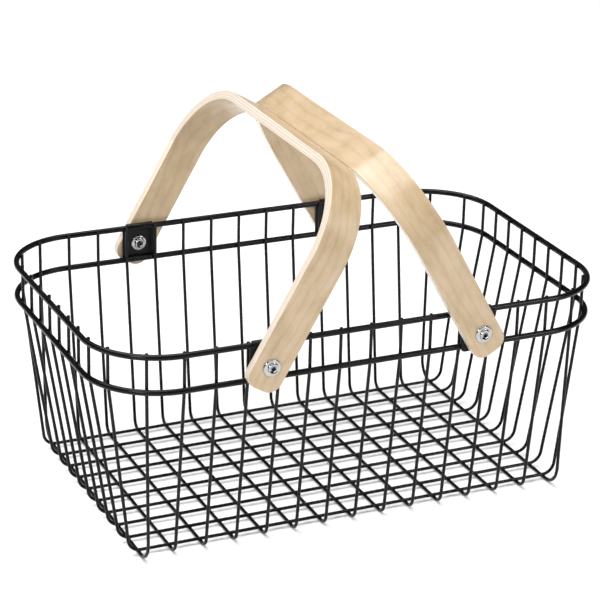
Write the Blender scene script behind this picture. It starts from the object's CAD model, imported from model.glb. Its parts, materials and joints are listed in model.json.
import json
import math

import bmesh
import bpy
from mathutils import Matrix, Vector


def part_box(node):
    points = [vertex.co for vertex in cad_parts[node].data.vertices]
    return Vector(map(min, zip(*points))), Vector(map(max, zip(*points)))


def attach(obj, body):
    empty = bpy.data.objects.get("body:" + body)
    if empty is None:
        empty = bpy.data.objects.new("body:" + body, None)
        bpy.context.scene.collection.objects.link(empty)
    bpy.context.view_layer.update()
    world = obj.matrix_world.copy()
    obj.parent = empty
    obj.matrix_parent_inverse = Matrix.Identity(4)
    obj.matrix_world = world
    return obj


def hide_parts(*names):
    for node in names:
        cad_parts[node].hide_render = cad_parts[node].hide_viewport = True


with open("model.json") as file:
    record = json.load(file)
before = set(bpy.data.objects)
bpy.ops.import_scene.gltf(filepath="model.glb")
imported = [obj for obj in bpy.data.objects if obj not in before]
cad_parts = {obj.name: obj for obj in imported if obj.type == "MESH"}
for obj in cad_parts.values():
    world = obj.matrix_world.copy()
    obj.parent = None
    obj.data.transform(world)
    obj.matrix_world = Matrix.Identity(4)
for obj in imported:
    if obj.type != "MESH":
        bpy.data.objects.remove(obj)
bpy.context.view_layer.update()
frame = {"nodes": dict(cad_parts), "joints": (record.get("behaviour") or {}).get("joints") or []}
mm = 0.001


# ---- Rim rings -------------------------------------------------------------------------------------------
# Two closed hoops of thick steel wire, bent to one rounded rectangle and butt welded on themselves.
# The whole cage is powder coated after welding: a satin black skin with a very fine orange peel.

def new_finish(name, **settings):
    """A material and its shader, with these constant settings on the shader."""
    material = bpy.data.materials.new(name)
    material.use_nodes = True
    shader = material.node_tree.nodes["Principled BSDF"]
    for socket, value in settings.items():
        shader.inputs[socket.replace("_", " ")].default_value = value
    return material, shader


def add_node(material, kind, **inputs):
    """A new node in a material, its sockets given values or joined to other nodes' outputs."""
    node = material.node_tree.nodes.new(kind)
    for socket, value in inputs.items():
        target = node.inputs[socket.replace("_", " ")]
        if isinstance(value, bpy.types.NodeSocket):
            material.node_tree.links.new(value, target)
        else:
            target.default_value = value
    return node


def place_of(material, stretch=(1, 1, 1), source=None):
    """The place on the piece, stretched along each axis, to lay a pattern on."""
    if source is None:
        source = add_node(material, "ShaderNodeTexCoord").outputs["Object"]
    return add_node(material, "ShaderNodeMapping", Vector=source, Scale=stretch).outputs["Vector"]


def speckle(material, place, scale, detail=2.0, rough=0.5):
    """Soft random patches, scale of them to the metre."""
    node = add_node(material, "ShaderNodeTexNoise", Vector=place, Scale=scale, Detail=detail,
                    Roughness=rough)
    return node.outputs["Fac"]


def span(material, amount, low, high, start=0.0, end=1.0):
    """Maps a pattern that runs from start to end onto low to high."""
    node = add_node(material, "ShaderNodeMapRange", Value=amount, From_Min=start, From_Max=end,
                    To_Min=low, To_Max=high)
    return node.outputs["Result"]


def tint(material, amount, *stops):
    """Colours a pattern: each stop is a place from 0 to 1 and a linear colour."""
    ramp = add_node(material, "ShaderNodeValToRGB", Fac=amount)
    while len(ramp.color_ramp.elements) < len(stops):
        ramp.color_ramp.elements.new(0.5)
    for element, (position, colour) in zip(ramp.color_ramp.elements, stops):
        element.position = position
        element.color = (*colour, 1)
    return ramp.outputs["Color"]


def plug(material, shader, **sockets):
    """Joins patterns to the shader's sockets."""
    for socket, output in sockets.items():
        material.node_tree.links.new(output, shader.inputs[socket.replace("_", " ")])


def relief(material, shader, height, depth):
    """Gives the surface a fine relief of this depth in metres."""
    bump = add_node(material, "ShaderNodeBump", Height=height, Distance=depth, Strength=1.0)
    plug(material, shader, Normal=bump.outputs["Normal"])


def powder_coat(name, peel, gloss_low, gloss_high):
    """Satin black powder coat, with peel bumps to the metre and a roughness that wanders."""
    coat, shader = new_finish(name, Specular_IOR_Level=0.2)
    place = place_of(coat)
    patches = speckle(coat, place, 45, detail=3.0)
    plug(coat, shader,
         Base_Color=tint(coat, patches, (0.3, (0.0022, 0.0022, 0.0024)), (0.7, (0.0045, 0.0045, 0.005))),
         Roughness=span(coat, patches, gloss_low, gloss_high, 0.3, 0.7))
    relief(coat, shader, speckle(coat, place, peel, detail=1.0), 0.02 * mm)
    return coat


def dress(node, material):
    """Puts one material on a node of the frame."""
    for material_slot in frame["nodes"][node].material_slots:
        material_slot.material = material


rim_rings = ("upper_rim_ring", "lower_rim_ring")
wire_coat = powder_coat("wire powder coat", 900, 0.2, 0.3)
for ring in rim_rings:
    dress(ring, wire_coat)


# ---- Grid wires ------------------------------------------------------------------------------------------
# Fifteen cross wires and ten long wires of thin drawn steel, each bent into a wide tray shape.
# They are spot welded at every crossing of the floor and inside both rim rings, then coated with them.

cross_wires = sorted(name for name in frame["nodes"] if name.startswith("cross_wire"))
long_wires = sorted(name for name in frame["nodes"] if name.startswith("long_wire"))
for wire in cross_wires + long_wires:
    dress(wire, wire_coat)


# ---- Weld nuggets and wire tips --------------------------------------------------------------------------
# Each spot weld squeezes a little steel out between the two wires, and the coat rounds it to a soft bead.
# The cut wire tips stand just above the middle of the upper ring, with a drop of coat rounding each end.

wire_r = 1.4 * mm
knee_r = 1.45 * mm
rim_corner_r = 63 * mm
nugget_w = 1.55 * mm
nugget_h = 0.75 * mm
floor_weld_sink = 0.15 * mm
rim_weld_sink = 0.1 * mm
tip_r = wire_r - 0.01 * mm
tip_dome = 0.5 * mm


def new_piece(name, mesh, material, body):
    """Turns a finished bmesh into a piece that rides on a body of the frame."""
    data = bpy.data.meshes.new(name)
    mesh.to_mesh(data)
    mesh.free()
    data.materials.append(material)
    data.shade_smooth()
    piece = bpy.data.objects.new(name, data)
    bpy.context.scene.collection.objects.link(piece)
    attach(piece, body)
    return piece


def bead(mesh, place, size, turn=Matrix()):
    """A small rounded bead with these half sizes."""
    bmesh.ops.create_uvsphere(mesh, u_segments=8, v_segments=6, radius=1,
                              matrix=Matrix.Translation(place) @ turn @ Matrix.Diagonal((*size, 1)))


def rim_outward(place):
    """The direction straight out through the rim at a place on the wall."""
    hub = Vector((max(-rim_hub.x, min(rim_hub.x, place.x)), max(-rim_hub.y, min(rim_hub.y, place.y))))
    return (place.xy - hub).normalized().to_3d()


ring_low, ring_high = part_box("upper_rim_ring")
ring_r = (ring_high.z - ring_low.z) / 2
rim_hub = Vector((ring_high.x, ring_high.y)) - Vector((1, 1)) * (rim_corner_r + ring_r)
ring_heights = [sum(corner.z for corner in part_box(ring)) / 2 for ring in rim_rings]
floor_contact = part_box(long_wires[0])[0].z + floor_weld_sink

# Where each wire runs over the floor, and where it stands at the rim.
cross_floor = []
wall_places = []
for wire in cross_wires:
    low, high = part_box(wire)
    side = 1 if low.x + high.x > 0 else -1
    near, far = sorted((low.x * side, high.x * side))
    cross_floor.append(side * (near + knee_r))
    wall_places += [Vector((side * (far - knee_r), end * (high.y - knee_r), high.z)) for end in (-1, 1)]
long_floor = []
for wire in long_wires:
    low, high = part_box(wire)
    long_floor.append((low.y + high.y) / 2)
    wall_places += [Vector((end * (high.x - knee_r), (low.y + high.y) / 2, high.z)) for end in (-1, 1)]

welds = bmesh.new()
for x in cross_floor:
    for y in long_floor:
        bead(welds, Vector((x, y, floor_contact)), (nugget_w, nugget_w, nugget_h))
for place in wall_places:
    out = rim_outward(place)
    facing = out.to_track_quat("Z", "Y").to_matrix().to_4x4()
    for height in ring_heights:
        spot = Vector((place.x, place.y, height)) + out * (wire_r - rim_weld_sink)
        bead(welds, spot, (nugget_w, nugget_w, nugget_h), facing)
new_piece("weld_nuggets", welds, wire_coat, "basket")

tips = bmesh.new()
for place in wall_places:
    bead(tips, place, (tip_r, tip_r, tip_dome))
new_piece("wire_tip_drops", tips, wire_coat, "basket")


# ---- Brackets --------------------------------------------------------------------------------------------
# Four plates cut from steel sheet, one behind each handle leg, welded to the outside of both rings.
# The top of each is folded over the upper ring between two wires, and the plate is drilled for the bolt.

plate_t = 1.2 * mm
lip_w = 23.6 * mm
lip_reach = 2.2 * mm
plate_corner_r = 3.2 * mm
plate_edge_r = 0.25 * mm
bolt_hole_d = 6.1 * mm
bracket_coat = powder_coat("bracket powder coat", 1400, 0.34, 0.46)
pivots = {joint["child"]: Vector(joint["pos_m"]) for joint in frame["joints"]}
corners = [(side, end, -1 if side == "front" else 1, pivots[end + "_handle_body"])
           for side in ("front", "back") for end in ("left", "right")]


def sharp_edges(mesh, angle):
    """The edges where two faces meet at more than this angle."""
    return [edge for edge in mesh.edges if len(edge.link_faces) == 2 and edge.calc_face_angle() > angle]


def ease(mesh, width, segments=3, angle=math.radians(40)):
    """Rounds every sharp edge a little."""
    bmesh.ops.bevel(mesh, geom=sharp_edges(mesh, angle), offset=width, offset_type="OFFSET",
                    segments=segments, profile=0.5, affect="EDGES", material=-1)


def cut_away(piece, cutter):
    """Cuts the shape in the bmesh cutter out of a piece."""
    data = bpy.data.meshes.new("cutter")
    cutter.to_mesh(data)
    cutter.free()
    tool = bpy.data.objects.new("cutter", data)
    bpy.context.scene.collection.objects.link(tool)
    cut = piece.modifiers.new("cut", "BOOLEAN")
    cut.object = tool
    cut.solver = "EXACT"
    bpy.context.view_layer.update()
    cut_mesh = bpy.data.meshes.new_from_object(piece.evaluated_get(bpy.context.evaluated_depsgraph_get()))
    piece.modifiers.clear()
    piece.data = cut_mesh
    bpy.data.objects.remove(tool)


def level_normals(piece):
    """Keeps broad faces flat in the light and lets the eased edges turn."""
    piece.modifiers.new("normals", "WEIGHTED_NORMAL").keep_sharp = False


def drill(piece, diameter, depth, segments=48, start=0.0):
    """Cuts a straight hole into a piece along Y, from start to depth."""
    cutter = bmesh.new()
    turn = Matrix.Rotation(math.radians(90), 4, "X")
    middle = Matrix.Translation((0, (start + depth) / 2, 0))
    bmesh.ops.create_cone(cutter, cap_ends=True, segments=segments, radius1=diameter / 2,
                          radius2=diameter / 2, depth=abs(depth - start), matrix=middle @ turn)
    cut_away(piece, cutter)


def stand_at(piece, pivot, facing):
    """Puts a piece drawn about the pivot, looking out of the front wall, at its corner."""
    if facing > 0:
        piece.data.transform(Matrix.Scale(-1, 4, (0, 1, 0)))
        piece.data.flip_normals()
    piece.data.transform(Matrix.Translation(pivot))


for side, end, facing, pivot in corners:
    name = f"bracket_{side}_{end}"
    low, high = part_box(f"bracket_front_{end}")
    plate = bmesh.new()
    size = Vector((high.x - low.x, plate_t, ring_heights[0] - low.z))
    middle = Vector((0, low.y + plate_t / 2, (ring_heights[0] + low.z) / 2 - pivot.z))
    bmesh.ops.create_cube(plate, size=1, matrix=Matrix.Translation(middle) @ Matrix.Diagonal((*size, 1)))
    feet = [edge for edge in plate.edges
            if abs((edge.verts[0].co - edge.verts[1].co).y) > plate_t / 2 and edge.verts[0].co.z < middle.z]
    bmesh.ops.bevel(plate, geom=feet, offset=plate_corner_r, offset_type="OFFSET", segments=8,
                    profile=0.5, affect="EDGES", material=-1)
    for place in (-lip_w / 2, lip_w / 2):
        bmesh.ops.bisect_plane(plate, geom=[*plate.verts, *plate.edges, *plate.faces],
                               plane_co=(place, 0, 0), plane_no=(1, 0, 0))
    lip = next(face for face in plate.faces
               if face.normal.z > 0.9 and abs(face.calc_center_median().x) < lip_w / 4)
    ring_middle = Vector((0, ring_r - ring_high.y, ring_heights[0] - pivot.z))
    fold = math.radians(90) + math.asin(lip_reach / (ring_middle.y - low.y - plate_t / 2))
    bmesh.ops.spin(plate, geom=[lip, *lip.edges, *lip.verts], cent=ring_middle, axis=(-1, 0, 0),
                   angle=fold, steps=14)
    bmesh.ops.recalc_face_normals(plate, faces=plate.faces)
    ease(plate, plate_edge_r, segments=2)
    piece = new_piece(name + "_pressed", plate, bracket_coat, "basket")
    drill(piece, bolt_hole_d, low.y * 2)
    stand_at(piece, pivot, facing)
    level_normals(piece)
    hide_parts(name)


# ---- Spacer washers --------------------------------------------------------------------------------------
# A thin flat ring punched from bright steel strip sits on each bolt, between the bracket and the leg.
# It lets the wood turn without rubbing on the coated plate, and keeps the rolling marks of the strip.

washer_steel, shader = new_finish("rolled steel", Metallic=1.0)
rolling = speckle(washer_steel, place_of(washer_steel, (120, 4000, 4000)), 1, detail=3.0)
plug(washer_steel, shader,
     Base_Color=tint(washer_steel, rolling, (0.3, (0.42, 0.43, 0.44)), (0.7, (0.62, 0.63, 0.64))),
     Roughness=span(washer_steel, rolling, 0.22, 0.42, 0.3, 0.7))
relief(washer_steel, shader, rolling, 0.01 * mm)
for side, end, facing, pivot in corners:
    dress(f"washer_{side}_{end}", washer_steel)


# ---- Bolts and cap nuts ----------------------------------------------------------------------------------
# A polished button bolt with a hex socket goes through each leg, and a matching cap nut closes it inside.
# Both are turned from steel, with a wide dished flange and a raised middle, and bright chrome plated.


def blend_colours(material, mode, amount, under, over):
    """Lays one colour over another."""
    node = material.node_tree.nodes.new("ShaderNodeMix")
    node.data_type = "RGBA"
    node.blend_type = mode
    for socket, value in zip((node.inputs[0], node.inputs[6], node.inputs[7]), (amount, under, over)):
        if isinstance(value, bpy.types.NodeSocket):
            material.node_tree.links.new(value, socket)
        else:
            socket.default_value = value
    return node.outputs[2]


chrome, shader = new_finish("bright chrome", Metallic=1.0)
haze = speckle(chrome, place_of(chrome), 260)
socket_dirt = add_node(chrome, "ShaderNodeAttribute")
socket_dirt.attribute_name = "socket"
plug(chrome, shader,
     Base_Color=blend_colours(chrome, "MIX", socket_dirt.outputs["Fac"],
                              tint(chrome, haze, (0.3, (0.38, 0.39, 0.39)), (0.7, (0.50, 0.50, 0.49))),
                              (0.03, 0.03, 0.03, 1)),
     Roughness=span(chrome, haze, 0.09, 0.15, 0.3, 0.7))

flange_t = 0.7 * mm
boss_d = 8.6 * mm
dish_low = 1.0 * mm
shank_d = 6 * mm
hex_af = 4 * mm
hex_depth = 2 * mm
head_gap = 0.15 * mm
bore_depth = 1.52 * mm
bore_r = shank_d / 2 + 0.02 * mm
turned_edge_r = 0.22 * mm
turned_edge_angle = math.radians(25)


def turned(outline):
    """Turns an outline of (radius, reach outward) points about the bolt's own axis, which is Y."""
    mesh = bmesh.new()
    points = [mesh.verts.new((radius, -reach, 0)) for radius, reach in outline]
    edges = [mesh.edges.new(pair) for pair in zip(points, points[1:])]
    bmesh.ops.spin(mesh, geom=[*points, *edges], cent=(0, 0, 0), axis=(0, 1, 0),
                   angle=math.radians(360), steps=56, use_merge=True)
    bmesh.ops.remove_doubles(mesh, verts=mesh.verts, dist=0.001 * mm)
    bmesh.ops.recalc_face_normals(mesh, faces=mesh.faces)
    return mesh


def button_outline(diameter, base, reach):
    """From the edge of the flange in to the middle: flange, dish, raised boss."""
    rim = diameter / 2
    boss = boss_d / 2
    return [(rim, base), (rim, base + flange_t), (rim - 0.5 * mm, base + flange_t + 0.5 * mm),
            (rim - 1.1 * mm, base + flange_t + 0.5 * mm), (boss + 0.5 * mm, base + dish_low + 0.5 * mm),
            (boss, base + dish_low + 0.9 * mm), (boss, reach), (0, reach)]


def key_socket(piece, mouth):
    """Cuts the hex socket in from the mouth of a piece, and marks its floor, where the plating is dull."""
    drill(piece, hex_af / math.cos(math.radians(30)), mouth + hex_depth, segments=6, start=2 * mouth)
    marks = piece.data.attributes.new("socket", "FLOAT", "POINT")
    for vert, mark in zip(piece.data.vertices, marks.data):
        in_hole = math.hypot(vert.co.x, vert.co.z) < hex_af * 0.6
        at_floor = abs(vert.co.y - mouth - hex_depth) < 0.5 * mm
        mark.value = 1.0 if in_hole and at_floor else 0.0


for side, end, facing, pivot in corners:
    low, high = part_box(f"bolt_front_{end}")
    head_d = high.x - low.x
    head_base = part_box(f"{end}_handle")[1].y + head_gap
    shank = [(0, -high.y), (shank_d / 2 - 0.4 * mm, -high.y), (shank_d / 2, 0.4 * mm - high.y),
             (shank_d / 2, head_base)]
    mesh = turned(shank + button_outline(head_d, head_base, -low.y))
    ease(mesh, turned_edge_r, angle=turned_edge_angle)
    bolt = new_piece(f"bolt_{side}_{end}_turned", mesh, chrome, "basket")
    key_socket(bolt, low.y)
    stand_at(bolt, pivot, facing)
    level_normals(bolt)
    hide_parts(f"bolt_{side}_{end}")

    low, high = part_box(f"cap_nut_front_{end}")
    bore = [(0, bore_depth), (bore_r, bore_depth), (bore_r, 0)]
    mesh = turned(bore + button_outline(high.x - low.x, 0, high.y - low.y))
    ease(mesh, turned_edge_r, angle=turned_edge_angle)
    nut = new_piece(f"cap_nut_{side}_{end}_turned", mesh, chrome, "basket")
    key_socket(nut, low.y - high.y)
    nut.data.transform(Matrix.Translation((0, low.y, 0)) @ Matrix.Rotation(math.radians(180), 4, "Z"))
    stand_at(nut, pivot, facing)
    level_normals(nut)
    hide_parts(f"cap_nut_{side}_{end}")


# ---- Bentwood handles ------------------------------------------------------------------------------------
# Each handle is a strap of seven birch veneers, glued and pressed round a former into two wide bends.
# The edges are sanded round, the leg ends rounded and drilled for the bolt, and the wood clear lacquered.

strap_w = 31 * mm
strap_t = 8.5 * mm
handle_h = 163 * mm
bend_r = 70 * mm
leg_end = 20.5 * mm
leg_round_r = 11 * mm
meet_gap = 0.2 * mm
strap_edge_r = 0.9 * mm
plies = 7
right_figure_shift = 0.83
leg_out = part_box("left_handle")[1].y
flat_half = leg_out - bend_r
leg_top = handle_h - bend_r
lean = (math.asin((pivots["right_handle_body"].x - meet_gap / 2) / math.hypot(strap_w / 2, handle_h))
        - math.atan(strap_w / 2 / handle_h))

birch, shader = new_finish("lacquered birch", Specular_IOR_Level=0.45, Coat_Weight=0.7,
                           Coat_Roughness=0.22, Coat_IOR=1.45)
grain_marks = add_node(birch, "ShaderNodeAttribute")
grain_marks.attribute_name = "grain"
grain = grain_marks.outputs["Vector"]
figure = speckle(birch, place_of(birch, (30, 55, 60), grain), 1, detail=4.0, rough=0.6)
blush = speckle(birch, place_of(birch, (38, 60, 60), grain), 1.9)
fibres = speckle(birch, place_of(birch, (45, 1900, 700), grain), 1, detail=4.0, rough=0.6)
flecks = speckle(birch, place_of(birch, (260, 1500, 900), grain), 1, detail=1.0)
ring_wave = add_node(birch, "ShaderNodeTexWave", Vector=place_of(birch, (14, 34, 30), grain), Scale=1.0,
                     Distortion=11.0, Detail=2.0, Detail_Scale=0.6, Detail_Roughness=0.5)
ring_wave.bands_direction = "Y"
rings = ring_wave.outputs["Fac"]


def sum_of(material, operation, first, second):
    """One arithmetic step on two patterns."""
    node = material.node_tree.nodes.new("ShaderNodeMath")
    node.operation = operation
    for socket, value in zip(node.inputs, (first, second)):
        if isinstance(value, bpy.types.NodeSocket):
            material.node_tree.links.new(value, socket)
        else:
            socket.default_value = value
    return node.outputs[0]


face_wood = tint(birch, figure, (0.28, (0.45, 0.33, 0.19)), (0.44, (0.51, 0.385, 0.23)),
                 (0.56, (0.56, 0.43, 0.27)), (0.72, (0.61, 0.48, 0.325)))
face_wood = blend_colours(birch, "MIX", span(birch, blush, 0.0, 0.55, 0.48, 0.72), face_wood,
                          (0.60, 0.415, 0.30, 1))
face_wood = blend_colours(birch, "MULTIPLY", span(birch, rings, 0.0, 0.22, 0.6, 0.98), face_wood,
                          (0.76, 0.60, 0.44, 1))
face_wood = blend_colours(birch, "MULTIPLY", span(birch, fibres, 0.0, 0.14, 0.35, 0.75), face_wood,
                          (0.76, 0.64, 0.50, 1))
face_wood = blend_colours(birch, "MULTIPLY", span(birch, flecks, 0.0, 0.35, 0.66, 0.78), face_wood,
                          (0.55, 0.38, 0.24, 1))

depth = add_node(birch, "ShaderNodeSeparateXYZ", Vector=grain).outputs["Z"]
ply_phase = sum_of(birch, "MULTIPLY", depth, plies / strap_t * math.pi)
ply_wave = sum_of(birch, "SINE", ply_phase, 0.0)
ply_tone = span(birch, ply_wave, 0.0, 1.0, -0.35, 0.35)
edge_wood = tint(birch, ply_tone, (0.0, (0.76, 0.65, 0.53)), (0.42, (0.70, 0.58, 0.47)),
                 (0.5, (0.42, 0.32, 0.26)), (0.58, (0.80, 0.70, 0.59)), (1.0, (0.87, 0.79, 0.69)))
edge_wood = blend_colours(birch, "MULTIPLY", span(birch, fibres, 0.0, 0.25, 0.35, 0.75), edge_wood,
                          (0.80, 0.70, 0.60, 1))
skin = sum_of(birch, "MINIMUM", depth, sum_of(birch, "SUBTRACT", strap_t, depth))
wood = blend_colours(birch, "MIX", span(birch, skin, 0.0, 1.0, 0.25 * mm, 0.6 * mm), face_wood, edge_wood)
plug(birch, shader, Base_Color=wood, Roughness=span(birch, fibres, 0.36, 0.5, 0.3, 0.7))
relief(birch, shader, sum_of(birch, "ADD", fibres, flecks), 0.03 * mm)


def push(mesh, face, move):
    """Draws a face out along a straight, and returns the face at the far end."""
    made = bmesh.ops.extrude_face_region(mesh, geom=[face])["geom"]
    end_face = next(item for item in made if isinstance(item, bmesh.types.BMFace))
    bmesh.ops.translate(mesh, verts=end_face.verts, vec=move)
    return end_face


def bend(mesh, face, hub, angle, steps=28):
    """Draws a face round a bend about an axis along X, and returns the face at the far end."""
    made = bmesh.ops.spin(mesh, geom=[face, *face.edges, *face.verts], cent=hub, axis=(1, 0, 0),
                          angle=angle, steps=steps)["geom_last"]
    return next(item for item in made if isinstance(item, bmesh.types.BMFace))


def along_strap(place):
    """Unrolls a place on the strap to its distance along, across and below the outer face."""
    out = abs(place.y) - flat_half
    up = place.z - leg_top
    side = 1 if place.y > 0 else -1
    quarter = bend_r * math.pi / 2
    if up < 0:
        return side * (flat_half + quarter - up), place.x, bend_r - out
    if out < 0:
        return place.y, place.x, bend_r - up
    turned_by = math.atan2(out, up)
    return side * (flat_half + bend_r * turned_by), place.x, bend_r - math.hypot(out, up)


for end, tilt in (("left", lean), ("right", -lean)):
    strap = bmesh.new()
    foot = (Matrix.Translation((0, strap_t / 2 - leg_out, -leg_end))
            @ Matrix.Diagonal((strap_w, strap_t, 1, 1)))
    bmesh.ops.create_grid(strap, x_segments=1, y_segments=1, size=0.5, matrix=foot)
    strap.faces.ensure_lookup_table()
    tip = push(strap, strap.faces[0], (0, 0, leg_end + leg_top))
    tip = bend(strap, tip, (0, -flat_half, leg_top), math.radians(-90))
    tip = push(strap, tip, (0, 2 * flat_half, 0))
    tip = bend(strap, tip, (0, flat_half, leg_top), math.radians(-90))
    push(strap, tip, (0, 0, -leg_end - leg_top))
    bmesh.ops.recalc_face_normals(strap, faces=strap.faces)
    ends = [edge for edge in strap.edges
            if abs((edge.verts[0].co - edge.verts[1].co).y) > strap_t / 2
            and max(vert.co.z for vert in edge.verts) < -leg_end / 2]
    bmesh.ops.bevel(strap, geom=ends, offset=leg_round_r, offset_type="OFFSET", segments=14,
                    profile=0.5, affect="EDGES", material=-1)
    ease(strap, strap_edge_r, segments=4)
    handle = new_piece(f"{end}_handle_bent", strap, birch, f"{end}_handle_body")
    drill(handle, bolt_hole_d, leg_out * 2, start=-leg_out * 2)
    marks = handle.data.attributes.new("grain", "FLOAT_VECTOR", "POINT")
    shift = 0.0 if end == "left" else right_figure_shift
    for vert, mark in zip(handle.data.vertices, marks.data):
        run, across, below = along_strap(vert.co)
        mark.vector = (run + shift, across, below)
    handle.data.transform(Matrix.Translation(pivots[f"{end}_handle_body"]) @ Matrix.Rotation(tilt, 4, "Y"))
    level_normals(handle)
    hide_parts(f"{end}_handle")


# ---- Floor, light and camera -----------------------------------------------------------------------------
# A broad pale floor, a large soft light overhead and two small ones in front, in a room paler at the back.
# The camera stands in front and to the left of the basket and looks down on it.

floor_mesh = bmesh.new()
bmesh.ops.create_grid(floor_mesh, x_segments=1, y_segments=1, size=15)
floor_data = bpy.data.meshes.new("floor")
floor_mesh.to_mesh(floor_data)
floor_mesh.free()
floor = bpy.data.objects.new("floor", floor_data)
bpy.context.scene.collection.objects.link(floor)
floor_paint, shader = new_finish("floor paint", Specular_IOR_Level=0.1)
floor_patches = speckle(floor_paint, place_of(floor_paint), 3)
plug(floor_paint, shader,
     Base_Color=tint(floor_paint, floor_patches, (0.3, (0.90, 0.90, 0.90)), (0.7, (0.92, 0.92, 0.92))),
     Roughness=span(floor_paint, floor_patches, 0.7, 0.8))
floor_data.materials.append(floor_paint)

room = bpy.data.worlds.new("room")
room.use_nodes = True
room_side = add_node(room, "ShaderNodeTexCoord").outputs["Generated"]
facing_back = add_node(room, "ShaderNodeSeparateXYZ", Vector=room_side)
brightness = span(room, facing_back.outputs["Y"], 0.2, 1.25, -0.25, 0.75)
room.node_tree.links.new(brightness, room.node_tree.nodes["Background"].inputs["Strength"])
bpy.context.scene.world = room
light_aim = Vector((0, 0, 0.12))


def soft_light(name, place, size, power):
    """A square soft light that looks at the basket."""
    lamp = bpy.data.lights.new(name, "AREA")
    lamp.shape = "SQUARE"
    lamp.size = size
    lamp.energy = power
    lamp_object = bpy.data.objects.new(name, lamp)
    lamp_object.location = place
    lamp_object.rotation_euler = (light_aim - Vector(place)).to_track_quat("-Z", "Y").to_euler()
    bpy.context.scene.collection.objects.link(lamp_object)


soft_light("overhead", (-0.3, 0.5, 3.2), 3.4, 175)
soft_light("front right", (1.9, -2.4, 1.7), 0.8, 42)
soft_light("front left", (-2.2, -1.9, 1.8), 0.7, 38)

camera_data = bpy.data.cameras.new("camera")
camera_data.lens = 141.57
camera_data.sensor_width = 36
camera_data.shift_x = -0.0008
camera_data.shift_y = 0.00515
camera_data.clip_start = 0.05
camera_data.clip_end = 60
camera = bpy.data.objects.new("camera", camera_data)
turn = Matrix.Rotation(math.radians(-24.65), 4, "Z")
tip_down = Matrix.Rotation(math.radians(90 - 22.09), 4, "X")
roll = Matrix.Rotation(math.radians(1.34), 4, "Z")
camera.matrix_world = Matrix.Translation((-0.7856, -1.7118, 0.9169)) @ turn @ tip_down @ roll
bpy.context.scene.collection.objects.link(camera)
bpy.context.scene.camera = camera
bpy.context.scene.view_settings.view_transform = "Standard"
